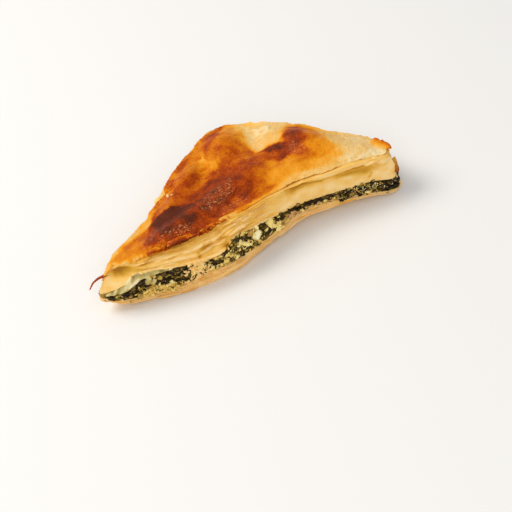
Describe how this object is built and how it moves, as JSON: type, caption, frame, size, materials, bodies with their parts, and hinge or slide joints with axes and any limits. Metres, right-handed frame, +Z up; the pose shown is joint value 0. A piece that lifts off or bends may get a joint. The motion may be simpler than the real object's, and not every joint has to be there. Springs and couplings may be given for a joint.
{
  "type": "spinach and cheese pastry piece",
  "caption": "Cut triangle of spinach and cheese pie: browned flaky pastry above and below a dark green filling that shows at its cut sides",
  "frame": {"origin": "middle of the piece's box, on the surface it lies on", "axes": "+X runs along the long cut side from the thin tip, +Y points to the square corner at the back, +Z is up"},
  "size_m": [0.1804, 0.0961, 0.0325],
  "materials": {
    "browned_pastry": "glossy egg-washed crust, golden to dark brown",
    "spinach_filling": "moist, uneven",
    "pale_pastry": "dull baked pastry"
  },
  "bodies": {
    "root": {"upper_pastry": "browned_pastry", "spinach_filling": "spinach_filling", "lower_pastry": "pale_pastry"}
  },
  "joints": []
}
